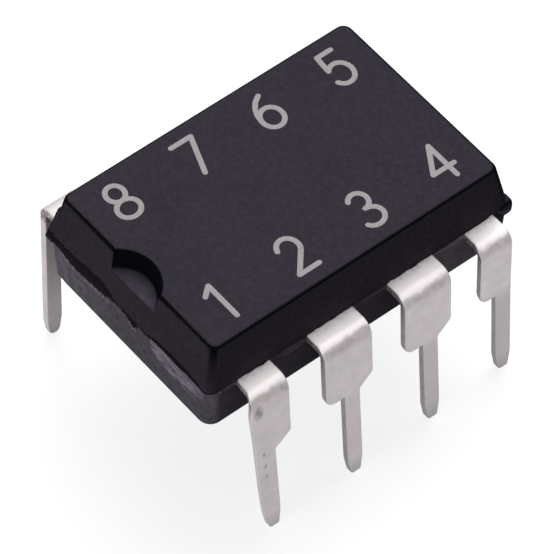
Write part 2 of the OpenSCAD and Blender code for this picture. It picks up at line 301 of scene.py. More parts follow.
def half_block(face_z, size_x, size_y, end_draft, side_draft, corner, edge):
    """One drafted half of the moulding, from the parting plane to its outer face."""
    height = abs(face_z - PARTING_Z)
    bm = block((size_x, size_y, height), (0, 0, (face_z + PARTING_Z) / 2))
    outer = [v for v in bm.verts if abs(v.co.z - face_z) < height / 4]
    bmesh.ops.scale(bm, verts=outer, vec=(1 - 2 * height * math.tan(end_draft) / size_x,
                                          1 - 2 * height * math.tan(side_draft) / size_y, 1))
    upright = [e for e in bm.edges if abs(e.verts[0].co.z - e.verts[1].co.z) > height / 2]
    bevelled(bm, upright, corner, 8)
    rim = [e for e in bm.edges if all(abs(v.co.z - face_z) < height / 4 for v in e.verts)]
    bevelled(bm, rim, edge, 5)
    return bm


def notch_cutter(moulding):
    """Round cutter whose flared top leaves a rounded rim on the notch."""
    rim = moulding.notch_rim
    reach = moulding.notch_reach
    top = BODY_HIGH.z
    floor = top - moulding.notch_depth
    wall = ((moulding.notch_width / 2) ** 2 + reach ** 2) / (2 * reach)
    top_end = BODY_LOW.x + (top - PARTING_Z) * math.tan(moulding.upper_end_draft)
    centre_x = top_end + reach - wall
    foot = wall - moulding.notch_depth * math.tan(moulding.notch_draft)
    turns = [math.radians(15 * k) for k in range(7)]
    outline = [(0, floor), (foot - rim / 2, floor), (foot, floor + rim / 2)]
    outline += [(wall + rim * (1 - math.cos(a)), top - rim + rim * math.sin(a)) for a in turns]
    outline += [(wall + rim, top + MM), (0, top + MM)]
    bm = bmesh.new()
    verts = [bm.verts.new((centre_x + x, 0, z)) for x, z in outline]
    edges = [bm.edges.new(pair) for pair in zip(verts, verts[1:])]
    bmesh.ops.spin(bm, geom=verts + edges, cent=(centre_x, 0, 0), axis=(0, 0, 1),
                   angle=math.tau, steps=96, use_merge=True)
    bmesh.ops.remove_doubles(bm, verts=bm.verts, dist=1e-7)
    return mesh_from(bm, "notch_cutter")


def disc_cutter(x, radius, low, high):
    """Upright cylinder for an ejector mark."""
    bm = bmesh.new()
    bmesh.ops.create_cone(bm, cap_ends=True, segments=48, radius1=radius, radius2=radius,
                          depth=high - low)
    bmesh.ops.translate(bm, vec=(x, 0, (low + high) / 2), verts=bm.verts)
    return mesh_from(bm, "ejector_cutter")


def ragged(place, scale, seed):
    """Even noise from -1 to 1 at a place, for a feature of the given size."""
    return noise.fractal(Vector(place) / scale + Vector((seed, 0, 0)), 0.9, 2.0, 3)


def flash_strip(x_from, x_to, side, reach, depth):
    """Ledge of flash between two leads, with an uneven outer edge and a bead."""
    # The strip's outer face starts a little inside the moulding's side
    wall = BODY_HIGH.y - (FLASH + 0.03) * MM
    width = 0.5 * MM
    bm = block((x_to - x_from, width, depth),
               ((x_from + x_to) / 2, side * (wall - width / 2), PARTING_Z - depth / 2))
    cuts = 26
    for k in range(1, cuts):
        slice_at(bm, (x_from + (x_to - x_from) * k / cuts, 0, 0), (1, 0, 0))
    for share in (0.35, 0.5, 0.65):
        slice_at(bm, (0, 0, PARTING_Z - depth * share), (0, 0, 1))
    for v in bm.verts:
        if v.co.y * side > wall - 0.1 * MM:
            down = (PARTING_Z - v.co.z) / depth
            bead = math.exp(-((down - 0.5) / 0.2) ** 2)
            wave = ragged((v.co.x, side * MM, 0), 0.25 * MM, 3)
            v.co.y += side * (reach * (0.9 + 0.5 * wave) * (1 - 0.55 * down) + 0.035 * MM * bead)
            if down > 0.9:
                v.co.z -= 0.03 * MM * ragged((v.co.x, side * MM, MM), 0.2 * MM, 9)
    return mesh_from(bm, "flash_strip")


# The broken gate on the notched end: its middle and half length along the parting line
GATE_Y = -1.84 * MM
GATE_HALF = 1.06 * MM
# The place where that end's parting line is broken deepest
WORN_Y = 1.45 * MM


def end_surface(height, moulding):
    """Place along X of the notched end's face at a height over the parting line."""
    if height >= 0:
        return BODY_LOW.x + height * math.tan(moulding.upper_end_draft)
    return BODY_LOW.x + moulding.parting_step - height * math.tan(moulding.lower_end_draft)


def gate_face(y, height, moulding):
    """Face left where the gate broke off, a little inside the notched end."""
    share = (y - GATE_Y) / GATE_HALF
    outside = end_surface(height, moulding) - 0.05 * MM
    if abs(share) >= 1:
        return outside
    arch = math.sqrt(1 - share * share)
    top = (0.17 * arch - 0.03 + 0.03 * ragged((y, 0, 0), 0.25 * MM, 5)) * MM
    bottom = -(0.35 + 0.5 * arch + 0.08 * ragged((y, MM, 0), 0.4 * MM, 7)) * MM
    if height > top:
        return end_surface(height, moulding) - (height - top)
    down = (top - height) / (top - bottom)
    fibres = ragged((y * 0.3, height, 0), 0.09 * MM, 11)
    depth = (0.022 * (1 - down ** 3) + 0.014 * fibres - max(0, down - 1) * 0.2) * MM
    return end_surface(min(height, 0), moulding) + depth


def worn_face(y, height, moulding):
    """Face of the ragged groove where the halves of the notched end meet."""
    hump = math.exp(-((y - WORN_Y) / (0.7 * MM)) ** 2)
    fade = min(1, (y + 0.75 * MM) / (0.3 * MM), (2.95 * MM - y) / (0.25 * MM))
    rough = ragged((y, 0, 0), 0.22 * MM, 21)
    top = (0.07 + 0.07 * hump + 0.045 * rough) * MM
    bottom = -(0.16 + 0.26 * hump + 0.06 * ragged((y, MM, 0), 0.2 * MM, 23)) * MM
    depth = (0.004 + 0.012 * hump + 0.012 * ragged((y, height, 0), 0.1 * MM, 25)) * MM
    seam = -0.02 * MM
    if height > seam:
        share = (top - height) / (top - seam)
        face = BODY_LOW.x + height * math.tan(moulding.upper_end_draft)
        reach = depth + moulding.parting_step
    else:
        share = (height - bottom) / (seam - bottom)
        face = end_surface(height, moulding)
        reach = depth
    # Beside the groove the cutter stays clear of the moulding
    clear = 0.02 * MM
    if share <= 0 or fade <= 0:
        return face - clear + clear * max(share, -1) - 0.05 * MM * (fade <= 0)
    return face - clear + (reach * min(1, share) ** 0.8 + clear) * fade


def end_cutter(moulding):
    """Closed cutter that breaks the notched end's parting line and its gate."""
    y_from, y_to = -3 * MM, 3 * MM
    low, high = -1.05 * MM, 0.32 * MM
    bm = bmesh.new()
    bmesh.ops.create_grid(bm, x_segments=220, y_segments=62, size=0.5)
    bmesh.ops.scale(bm, vec=(y_to - y_from, high - low, 1), verts=bm.verts)
    bmesh.ops.rotate(bm, cent=(0, 0, 0), verts=bm.verts,
                     matrix=Matrix(((0, 0, -1), (1, 0, 0), (0, 1, 0))))
    bmesh.ops.translate(bm, verts=bm.verts, vec=(0, (y_from + y_to) / 2,
                                                 PARTING_Z + (low + high) / 2))
    outer = set(thickened(bm))
    for v in bm.verts:
        height = v.co.z - PARTING_Z
        if v in outer:
            v.co.x = BODY_LOW.x - 0.5 * MM
        else:
            v.co.x = max(gate_face(v.co.y, height, moulding), worn_face(v.co.y, height, moulding))
    return mesh_from(bm, "end_cutter")


def corner_flash(corner_x, corner_y, low, high, taper, rounding):
    """Flash that squares a corner of the moulding, between two heights over the parting line."""
    side = 0.5 * MM
    inward = Vector((-math.copysign(1, corner_x), -math.copysign(1, corner_y), 0))
    middle = Vector((corner_x, corner_y, PARTING_Z + (low + high) / 2)) + inward * side / 2
    bm = block((side, side, high - low), middle)
    foot = [v for v in bm.verts if v.co.z < middle.z]
    bmesh.ops.translate(bm, vec=inward * taper, verts=foot)
    bevelled(bm, bm.edges[:], rounding, 5)
    return mesh_from(bm, "corner_flash")


def corner_flashes():
    """Flash on the near corner of the plain end and on the far corner of the notched one."""
    # For each: corner's X and offset, its Y and offset, low and high end, taper and rounding
    rows = ((BODY_HIGH.x, 0.08, BODY_LOW.y, -0.02, -0.36, 0.14, 0, 0.19),
            (BODY_HIGH.x, -0.06, BODY_LOW.y, 0.12, -1.3, -0.1, 0.05, 0.07),
            (BODY_LOW.x, 0.24, BODY_HIGH.y, -0.2, -0.16, 1.0, -0.25, 0.04),
            (BODY_LOW.x, 0.055, BODY_HIGH.y, -0.12, -1.6, -0.02, 0.085, 0.1))
    return [corner_flash(x + out_x * MM, y + out_y * MM, *(value * MM for value in sizes))
            for x, out_x, y, out_y, *sizes in rows]


def mark_rounding(mesh, moulding):
    """Stores where the rounded edges, the notch's wall and the notch's floor lie, for painted shade
    on the edges and wall and painted light on the floor.
    """
    slopes = ((moulding.upper_end_draft, 0, 1), (moulding.upper_side_draft, 1, 1),
              (moulding.lower_end_draft, 0, -1), (moulding.lower_side_draft, 1, -1))
    flats = [Vector((0, 0, 1)), Vector((0, 0, -1))]
    for draft, axis, up in slopes:
        for side in (-1, 1):
            flat = Vector((0, 0, up * math.sin(draft)))
            flat[axis] = side * math.cos(draft)
            flats.append(flat)
    bm = bmesh.new()
    bm.from_mesh(mesh)
    bm.normal_update()
    layer = bm.verts.layers.float.new("rounding")
    floor = bm.faces.layers.float.new("notch_floor")
    turns = []
    for face in bm.faces:
        nearest = min(face.normal.angle(flat, 0) for flat in flats)
        middle = face.calc_center_median()
        # The notch's wall gets the same painted shade as a rounded edge, although it stands like
        # the end's face
        behind = middle.x - end_surface(middle.z - PARTING_Z, moulding)
        in_notch = (middle.z > BODY_HIGH.z - moulding.notch_depth + 0.01 * MM
                    and abs(middle.y) < moulding.notch_width / 2
                    and 0.03 * MM < behind < moulding.notch_reach + 0.2 * MM)
        if in_notch and face.normal.z < 0.5:
            nearest = math.pi
        turns.append(min(1, max(0, (nearest - math.radians(6)) / math.radians(18))))
        inside = PARTING_Z + 0.5 * MM < middle.z < BODY_HIGH.z - 0.3 * MM
        face[floor] = float(inside and face.normal.z > 0.95)
    for v in bm.verts:
        v[layer] = min((turns[face.index] for face in v.link_faces), default=0)
    bm.to_mesh(mesh)
    bm.free()


def build_moulding(moulding, leads):
    """The moulding as one closed shell with its notch, marks, flash and broken gate."""
    span_x = BODY_HIGH.x - BODY_LOW.x
    span_y = 2 * (BODY_HIGH.y - moulding.flash)
    step = 2 * moulding.parting_step
    upper = half_block(BODY_HIGH.z, span_x, span_y, moulding.upper_end_draft,
                       moulding.upper_side_draft, moulding.upper_corner, moulding.edge)
    lower = half_block(BODY_LOW.z, span_x - step, span_y - step, moulding.lower_end_draft,
                       moulding.lower_side_draft, moulding.lower_corner, moulding.edge)
    body = combined(mesh_from(upper, "upper_half"), mesh_from(lower, "lower_half"), "UNION")
    body = combined(body, notch_cutter(moulding), "DIFFERENCE")
    for side in (-1, 1):
        body = combined(body, disc_cutter(side * moulding.ejector_x, moulding.ejector_radius,
                                          BODY_LOW.z - MM, BODY_LOW.z + moulding.ejector_depth),
                        "DIFFERENCE")
        for column in range(3):
            x = PATTERN_X + (column - 1.5) * PITCH
            strip = flash_strip(x, x + PITCH, side, moulding.flash, leads.thickness)
            body = combined(body, strip, "UNION")
    # A thinner strip runs from the first lead to the notched end's corner
    first_x = PATTERN_X - 1.5 * PITCH
    strip = flash_strip(BODY_LOW.x + moulding.lower_corner, first_x, -1, 0.7 * moulding.flash,
                        0.4 * leads.thickness)
    body = combined(body, strip, "UNION")
    for flash in corner_flashes():
        body = combined(body, flash, "UNION")
    body = combined(body, end_cutter(moulding), "DIFFERENCE")
    mark_rounding(body, moulding)
    return body


def feed(tree, socket, value):
    """Links an output to a socket, or sets the socket's value."""
    if isinstance(value, bpy.types.NodeSocket):
        tree.links.new(value, socket)
    else:
        socket.default_value = value


def add_node(tree, kind, inputs=None, **settings):
    """A new shader node with its settings made and its inputs fed."""
    node = tree.nodes.new(kind)
    for key, value in settings.items():
        setattr(node, key, value)
    for key, value in (inputs or {}).items():
        feed(tree, node.inputs[key], value)
    return node


class Nodes:
    """Short way to build one material's nodes, with places and sizes in millimetres."""

    def __init__(self, name):
        self.material = bpy.data.materials.new(name)
        self.material.use_nodes = True
        self.tree = self.material.node_tree
        self.shader = self.tree.nodes["Principled BSDF"]
        self.base = None
        metres = self.add("ShaderNodeTexCoord").outputs["Object"]
        self.place = self.add("ShaderNodeVectorMath", {0: metres, "Scale": 1 / MM},
                              operation="SCALE").outputs[0]
        self.axes = self.add("ShaderNodeSeparateXYZ", {"Vector": self.place}).outputs

    def add(self, kind, inputs=None, **settings):
        """A new node of this material."""
        return add_node(self.tree, kind, inputs, **settings)

    def noise(self, size, detail=3.0, roughness=0.55, stretch=None):
        """Noise whose features are about size across."""
        place = self.place
        if stretch:
            place = self.add("ShaderNodeMapping", {"Vector": place, "Scale": stretch}).outputs[0]
        return self.add("ShaderNodeTexNoise", {"Vector": place, "Scale": 1 / size,
                                               "Detail": detail, "Roughness": roughness}).outputs[0]

    def stored(self, name):
        """Value that the mesh carries."""
        return self.add("ShaderNodeAttribute", attribute_name=name).outputs["Fac"]

    def math(self, operation, *values):
        """Result of one operation on one or two values."""
        return self.add("ShaderNodeMath", dict(enumerate(values)), operation=operation).outputs[0]

    def in_turn(self, operation, values):
        """Result of an operation that takes in one value after another."""
        result = values[0]
        for value in values[1:]:
            result = self.math(operation, result, value)
        return result

    def times(self, *values):
        """Product of several values."""
        return self.in_turn("MULTIPLY", values)

    def plus(self, *values):
        """Sum of several values."""
        return self.in_turn("ADD", values)

    def less(self, a, b):
        """The first value less the second."""
        return self.math("SUBTRACT", a, b)

    def ramp(self, value, low, high, to_low=0.0, to_high=1.0):
        """Value turned from low..high to to_low..to_high, and held there."""
        return self.add("ShaderNodeMapRange", {"Value": value, "From Min": low, "From Max": high,
                                               "To Min": to_low, "To Max": to_high}).outputs[0]

    def fall(self, value, low, high):
        """1 up to low, and 0 from high on."""
        return self.ramp(value, low, high, 1.0, 0.0)

    def strip(self, value, middle, inner, outer):
        """1 nearer to the middle than inner, and 0 past outer, either way."""
        return self.fall(self.math("ABSOLUTE", self.less(value, middle)), inner, outer)

    def near(self, centre, radius, blur, wobble, flat=(1, 1, 1)):
        """1 inside an uneven round patch and 0 outside it, longer where flat is below 1."""
        far = self.place
        for operation, other in (("SUBTRACT", centre), ("MULTIPLY", flat)):
            far = self.add("ShaderNodeVectorMath", {0: far, 1: other},
                           operation=operation).outputs[0]
        far = self.add("ShaderNodeVectorMath", {0: far}, operation="LENGTH").outputs["Value"]
        uneven = self.times(self.less(self.noise(radius * 0.8), 0.5), wobble)
        return self.fall(self.plus(far, uneven), radius - blur, radius + blur)

    def mix(self, factor, a, b):
        """Colour a turned to colour b by the factor."""
        return self.add("ShaderNodeMix", {0: factor, 6: a, 7: b}, data_type="RGBA").outputs[2]

    def coat(self, factor, tint, gain=1.0):
        """Turns the base colour to a tint by the factor."""
        self.base = self.mix(factor, self.base, rgba(tint, gain))

    def bump(self, height, distance, strength=1.0, below=None):
        """Bumps in the surface, over those below."""
        inputs = {"Height": height, "Distance": distance * MM, "Strength": strength}
        if below is not None:
            inputs["Normal"] = below
        return self.add("ShaderNodeBump", inputs).outputs[0]

    def set(self, **values):
        """Sets or links inputs of the shader."""
        for key, value in values.items():
            feed(self.tree, self.shader.inputs[key.replace("_", " ")], value)


def rgba(value, gain=1.0):
    """A colour made lighter or darker by a gain."""
    return (value[0] * gain, value[1] * gain, value[2] * gain, 1.0)


def compound_material(finish):
    """Matte black moulding compound with a fine grain, scuffed at the gate, with painted shade on
    its edges and crevice, painted light on the notch's floor, painted highlights on the flash and a
    painted floor reflection on the notched end's lower half.
    """
    n = Nodes("moulding_compound")
    x, y, z = n.axes
    black, grey = finish.compound, finish.scuff_and_highlight
    grain = n.noise(0.06, 4.0, 0.65)
    blotch = n.noise(0.2, 4.0, 0.6)
    pits = n.ramp(n.noise(0.12, 2.0, 0.5), 0.62, 0.72)
    n.base = n.mix(n.noise(1.6, 3.0, 0.6), rgba(black, 0.85), rgba(black, 1.2))
    n.coat(n.ramp(grain, 0.35, 0.75, 0.0, 0.5), black, 1.9)
    n.coat(n.ramp(blotch, 0.48, 0.75, 0.0, 0.45), black, 1.8)
    # Rounded edges and the notch's wall are painted dark as shade, and the edges are a little
    # smoother
    rounding_and_shade = n.stored("rounding")
    n.coat(n.times(rounding_and_shade, 0.95), black, 0.1)
    # The notch's floor is painted lighter, as painted light
    n.coat(n.times(n.stored("notch_floor"), n.ramp(blotch, 0.3, 0.7, 0.3, 0.9)), black, 2.2)

    # The lower half of the notched end is painted a lighter mottled grey, as a painted reflection
    # of the floor
    end_x = BODY_LOW.x / MM
    at_end = n.fall(x, end_x + 0.3, end_x + 0.5)
    height = n.less(z, PARTING_Z / MM)
    below = n.fall(height, -0.04, 0.0)
    floor_reflection = n.times(at_end, below, n.ramp(n.noise(0.22, 5.0, 0.75), 0.35, 0.65, 0.45, 1.0))
    n.base = n.mix(floor_reflection, n.base, n.mix(n.ramp(y, 0.5, 2.5), rgba(grey, 0.54), rgba(grey, 0.8)))

    # The near side's lower half turns lighter and mottled towards the plain end
    near_side = n.times(n.fall(y, -3.0, -2.95), below)
    lighter_near_side = n.times(near_side, n.ramp(x, 0.8, 3.0, 0.3, 0.95), n.ramp(x, 4.05, 4.2, 1.0, 0.2),
                   n.ramp(n.noise(0.4, 5.0, 0.7), 0.3, 0.7, 0.65, 1.0))
    n.coat(lighter_near_side, grey)

    # The broken gate shows light fibres along the parting line, under an edge painted dark as
    # shadow
    along = n.math("DIVIDE", n.less(y, GATE_Y / MM), GATE_HALF / MM)
    arch = n.math("SQRT", n.math("MAXIMUM", n.less(1.0, n.times(along, along)), 0.0))
    wobble = n.ramp(n.noise(0.3, 4.0), 0.25, 0.75, -0.12, 0.12)
    over_top = n.less(height, n.ramp(arch, 0, 1, -0.03, 0.14))
    over_foot = n.less(height, n.ramp(arch, 0, 1, -0.25, -0.78))
    gate = n.times(at_end, n.fall(over_top, -0.16, -0.12),
                   n.ramp(n.plus(over_foot, wobble), -0.1, 0.1), n.ramp(arch, 0.1, 0.35))
    fibres = n.ramp(n.noise(0.11, 4.0, 0.7, stretch=(1, 0.3, 1.2)), 0.4, 0.64, 0.1, 1.0)
    n.coat(n.times(gate, fibres, n.ramp(y, -2.6, -2.1, 0.55, 1.0)), grey, 1.4)
    gate_edge_shadow = n.times(at_end, n.strip(over_top, -0.05, 0.09, 0.13), n.ramp(arch, 0.1, 0.3))

    # Beside it the parting line's crevice is painted dark as shade, deepest towards the far side
    def hump(middle, reach):
        far = n.math("DIVIDE", n.less(y, middle), reach)
        return n.math("EXPONENT", n.times(far, far, -1.0))

    high, low, patch = hump(1.2, 0.5), hump(2.1, 0.7), hump(-0.15, 0.17)
    jag = n.ramp(n.noise(0.14, 5.0, 0.7), 0.25, 0.75, -0.11, 0.11)
    crevice_top = n.plus(n.ramp(y, 0.2, 0.9, 0.03, 0.17), n.times(high, 0.1), n.times(jag, 0.7))
    depth = n.plus(n.times(low, 0.3), n.times(high, 0.16), n.times(patch, 0.22))
    over_crevice = n.less(height, n.less(n.less(jag, 0.12), depth))
    crevice_shade = n.times(at_end, n.fall(n.less(height, crevice_top), -0.03, 0.03),
                      n.ramp(over_crevice, -0.04, 0.04), n.less(1.0, gate))
    # Painted shade in the crevice and painted shadow under the gate's top edge
    n.base = n.mix(n.times(n.math("MAXIMUM", crevice_shade, gate_edge_shadow), 0.95), n.base,
                   n.mix(grain, rgba(black, 0.1), rgba(black, 0.7)))
    flecks = n.times(at_end, n.ramp(n.noise(0.09, 4.0, 0.7), 0.5, 0.6), n.ramp(depth, 0.03, 0.12),
                     n.strip(over_crevice, -0.06, 0.03, 0.12))
    n.coat(flecks, grey, 1.3)

    # A thin line of flash catches the light between the near corner and the first lead
    thread = n.times(n.fall(y, -3.04, -3.0), n.fall(x, -3.8, -3.7),
                     n.ramp(n.noise(0.15, 4.0), 0.4, 0.6, 0.15, 0.9),
                     n.strip(height, -0.05, 0.02, 0.05))
    n.coat(thread, grey, 0.8)

    # A painted highlight lies on the flash between the first two leads, and painted highlights on
    # the beads of flash between all
    streak_highlight = n.times(near_side, n.strip(x, -2.05, 0.25, 0.4), n.strip(height, -0.37, 0.02, 0.08))
    n.coat(n.times(streak_highlight, 0.7), grey, 1.2)
    bead = n.times(n.fall(y, -3.15, -3.12), n.ramp(n.noise(0.7, 2.0), 0.48, 0.58),
                   n.strip(height, -0.11, 0.02, 0.06))
    n.coat(n.times(bead, 0.6), grey, 0.6)

    rough = n.ramp(n.noise(0.6, 4.0), 0.3, 0.7, 0.6, 0.72)
    n.set(Base_Color=n.base, Roughness=n.less(rough, n.times(rounding_and_shade, 0.15)))
    n.shader.inputs["Specular IOR Level"].default_value = 0.0
    n.set(Normal=n.bump(pits, -0.006, 0.6, below=n.bump(grain, 0.004, 0.8)))
    return n.material


# What a lead's face stores for its cut edges and painted shade: a clean cut edge, the sheet's inner
# side, which gets painted shade, and a torn edge
CLEAN, INNER, TORN = 0.12, 0.75, 1.0
# Y of the near row's faces, and their spots and scratches: X, height, radius and strength,
# in millimetres
NEAR_FACE_Y = -4.0
SPOTS = ((-3.85, 4.62, 0.15, 0.3), (-3.87, 4.68, 0.06, 0.6), (-3.8, 4.56, 0.05, 0.5),
         (-3.75, 2.95, 0.04, 0.7), (-3.73, 2.5, 0.04, 0.7), (-3.71, 2.1, 0.035, 0.6),
         (-3.08, 4.97, 0.05, 0.4), (-2.98, 4.9, 0.04, 0.4), (4.2, 3.15, 0.07, 0.45))


def tin_material(finish):
    """Matte tin plate with soft mottling, rolling lines, grey spots and cut edges, with a painted
    highlight and a painted dark reflection on the bends, and painted shade near the body, on the
    far row's tops and on the sheet's inner side.
    """
    n = Nodes("tin_plate")
    x, y, z = n.axes
    out = n.math("ABSOLUTE", y)
    tin, stain_and_shade, residue = finish.tin, finish.stain_and_shade, finish.residue
    cloud = n.noise(0.5, 4.0, 0.6)
    mottle = n.noise(0.16, 4.0, 0.65)
    streaks = n.noise(0.05, 3.0, 0.6, stretch=(1.0, 0.12, 0.12))
    n.base = n.mix(n.ramp(cloud, 0.3, 0.7), rgba(tin, 0.88), rgba(tin, 1.08))
    n.coat(n.ramp(mottle, 0.5, 0.75, 0.0, 0.5), tin, 0.82)
    n.coat(n.ramp(streaks, 0.55, 0.75, 0.0, 0.35), tin, 0.75)
    n.coat(n.ramp(n.noise(0.1, 5.0, 0.7), 0.66, 0.76, 0.0, 0.35), stain_and_shade, 1.6)

    # The bend gets a painted highlight, over a painted dark reflection band where it meets the leg
    wavy = n.plus(z, n.ramp(n.noise(0.35, 4.0), 0.25, 0.75, -0.05, 0.05))
    bend = n.times(n.ramp(wavy, 5.06, 5.13), n.ramp(out, 3.16, 3.26, 0.3, 1.0))
    n.coat(n.times(bend, 0.9), finish.bend_highlight)
    # Painted shade in specks next to the body
    seam = n.times(n.ramp(out, 3.2, 3.42, 0.4, 0.0), n.ramp(n.noise(0.1, 4.0, 0.7), 0.45, 0.6))
    n.coat(seam, tin, 0.55)
    dark_reflection_band = n.times(n.ramp(wavy, 4.76, 4.98), n.fall(wavy, 5.03, 5.12))
    n.coat(n.times(dark_reflection_band, 0.55, n.ramp(mottle, 0.3, 0.7, 0.5, 1.0)), stain_and_shade, 1.8)

    # The far row's tops get painted shade, and the legs turn darker towards the plain end
    n.coat(n.times(n.ramp(y, 0.0, 1.0, 0.0, 0.7), n.ramp(z, 4.9, 5.1)), tin, 0.7)
    n.coat(n.times(n.fall(z, 2.8, 3.4), n.ramp(x, -2.5, 3.5, 0.0, 0.8)), tin, 0.72)

    for across, up, radius, strength in SPOTS:
        spot = n.near((across, NEAR_FACE_Y, up), radius, 0.025, 0.1, flat=(1, 0.15, 0.6))
        n.coat(n.times(spot, strength), stain_and_shade)

    # Cut edges are rougher and darker, partly their own duller finish and partly painted shade, the
    # sheet's inner side is painted dark as shade, and moulding is left on torn edges near the body
    sheared_and_shade = n.stored("sheared_and_shade")
    n.coat(n.times(sheared_and_shade, n.ramp(mottle, 0.3, 0.7, 0.85, 1.0)), finish.sheared_and_shade)
    grime = n.ramp(n.noise(0.09, 5.0, 0.75), 0.42, 0.56)
    # Painted shade on the sheet's inner side, darker higher up towards the body
    under = n.times(n.ramp(sheared_and_shade, 0.5, 0.7), n.fall(sheared_and_shade, 0.8, 0.9))
    n.coat(n.times(under, n.ramp(z, 1.5, 3.6, 0.12, 0.5)), residue)
    torn = n.times(sheared_and_shade, n.ramp(out, 3.55, 3.85, 1.0, 0.35),
                   n.ramp(sheared_and_shade, 0.76, 0.95, 0.2, 1.0))
    dirty = n.times(n.ramp(sheared_and_shade, 0.04, 0.1), n.ramp(wavy, 4.72, 4.85), 0.85)
    n.coat(n.times(n.math("MAXIMUM", torn, dirty), grime, 0.9), residue)
    tarnish = n.near((-4.4, 3.85, 5.0), 0.24, 0.08, 0.2)
    n.coat(n.times(tarnish, grime, 0.5), residue, 4.0)
    n.coat(n.ramp(z, 0.05, 0.7, 0.4, 0.0), finish.sheared_and_shade, 0.7)

    rough = n.plus(n.ramp(cloud, 0.3, 0.7, 0.5, 0.6), n.times(sheared_and_shade, 0.06), n.times(bend, 0.12))
    n.set(Base_Color=n.base, Metallic=0.82, Roughness=rough)
    dents = n.bump(mottle, 0.004, 0.25, below=n.bump(cloud, 0.012, 0.4))
    n.set(Normal=n.bump(streaks, 0.0015, 0.4, below=dents))
    return n.material


def ink_material(finish):
    """Worn light print, a little uneven where the grain shows through."""
    n = Nodes("pale_ink")
    grain = n.noise(0.05, 4.0, 0.7)
    n.base = n.mix(n.ramp(grain, 0.45, 0.75), rgba(finish.ink), rgba(finish.ink, 0.7))
    n.coat(n.ramp(n.noise(0.4, 3.0), 0.35, 0.65, 0.0, 0.3), finish.ink, 0.85)
    n.set(Base_Color=n.base, Roughness=0.6, Normal=n.bump(grain, 0.003, 0.7))
    return n.material


def plain_metal(name, tint, size, roughness):
    """Rolled or drawn metal with fine lines."""
    n = Nodes(name)
    lines = n.noise(size, 3.0, 0.6, stretch=(0.15, 1.0, 1.0))
    n.set(Base_Color=n.mix(lines, rgba(tint, 0.85), rgba(tint)), Metallic=1.0,
          Roughness=n.ramp(lines, 0.3, 0.7, roughness, roughness + 0.12),
          Normal=n.bump(lines, size * 0.03, 0.5))
    return n.material


def silicon_material(finish):
    """Polished die with the faint grid of its circuit blocks."""
    n = Nodes("polished_silicon")
    blocks = n.add("ShaderNodeTexBrick", {"Vector": n.place, "Scale": 1 / 0.16,
                                          "Mortar Size": 0.03, "Color1": rgba(finish.silicon),
                                          "Color2": rgba(finish.silicon, 1.8),
                                          "Mortar": rgba(finish.silicon, 3.0)}).outputs[0]
    n.set(Base_Color=blocks, Roughness=n.ramp(n.noise(0.05), 0.3, 0.7, 0.12, 0.22))
    return n.material


def silver_material(finish):
    """Grainy silver-filled die attach."""
    n = Nodes("silver_epoxy")
    flakes = n.noise(0.02, 4.0, 0.8)
    n.set(Base_Color=n.mix(flakes, rgba(finish.silver, 0.6), rgba(finish.silver, 1.3)),
          Metallic=0.4, Roughness=0.45, Normal=n.bump(flakes, 0.002))
    return n.material


class LeadPath:
    """Places of a lead's flat pattern once it is bent: across is along X, along runs up it."""

    def __init__(self, leads, lean):
        self.lean = lean
        self.radius = leads.bend
        self.centre_y = (leads.row_spacing + leads.thickness) / 2 - leads.bend
        self.centre_z = PARTING_Z - leads.bend
        self.leg_end = self.leg_height(0)
        self.bend_end = self.leg_end + self.radius * (math.pi / 2 - lean)

    def leg_height(self, depth):
        """Height of the straight leg's upper end at a depth below the outer face."""
        return self.centre_z + (self.radius - depth) * math.sin(self.lean)

    def along_at(self, y):
        """Place along the pattern of a point on the lead's flat top."""
        return self.bend_end + self.centre_y - y

    def point(self, along, depth):
        """Outward distance and height of a point at a depth below the outer face."""
        radius = self.radius - depth
        if along <= self.leg_end:
            top = self.leg_height(depth)
            z = along * top / self.leg_end
            return self.centre_y + radius * math.cos(self.lean) + (top - z) * math.tan(self.lean), z
        if along <= self.bend_end:
            turn = self.lean + (along - self.leg_end) / self.radius
            return (self.centre_y + radius * math.cos(turn),
                    self.centre_z + radius * math.sin(turn))
        return self.centre_y - (along - self.bend_end), PARTING_Z - depth


def lead_place(number):
    """Column, row side and middle of a lead, from the frame."""
    column = number - 1 if number <= 4 else 8 - number
    side = -1 if number <= 4 else 1
    x = PATTERN_X + (column - 1.5) * PITCH
    return column, side, x


def finger_line(number, leads, root_x, root_y):
    """Middle line of the inner finger, from its root to its tip, on the far row's side."""
    column, _, x = lead_place(number)
    end = -1 if column < 2 else 1
    paddle_low, paddle_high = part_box("die_attach")
    paddle_x = (paddle_low.x + paddle_high.x) / 2
    half_paddle_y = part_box("die_paddle")[1].y
    gap = leads.finger_gap + leads.finger_width / 2
    if column in (0, 3):
        tip = Vector((paddle_x + end * (leads.paddle_length / 2 + gap), leads.tie_width / 2 + gap))
        knee_y = tip.y + leads.finger_width
        knee = Vector((x - end * leads.finger_width, knee_y))
        return [Vector((root_x, root_y)), Vector((root_x, knee_y)), knee, tip]
    tip = Vector((paddle_x + end * leads.inner_tip, half_paddle_y + gap))
    return [Vector((root_x, root_y)), Vector((x, tip.y + leads.finger_width)), tip]


def stroke_side(line, offset):
    """Points of a line moved sideways by offset, mitred at its bends."""
    points = []
    for i, point in enumerate(line):
        before = (line[i] - line[i - 1]).normalized() if i else None
        after = (line[i + 1] - line[i]).normalized() if i + 1 < len(line) else None
        if before is None:
            before = after
        if after is None:
            after = before
        normal = Vector((-before.y - after.y, before.x + after.x)).normalized()
        reach = offset / max(normal.dot(Vector((-after.y, after.x))), 0.5)
        points.append(point + normal * reach)
    return points


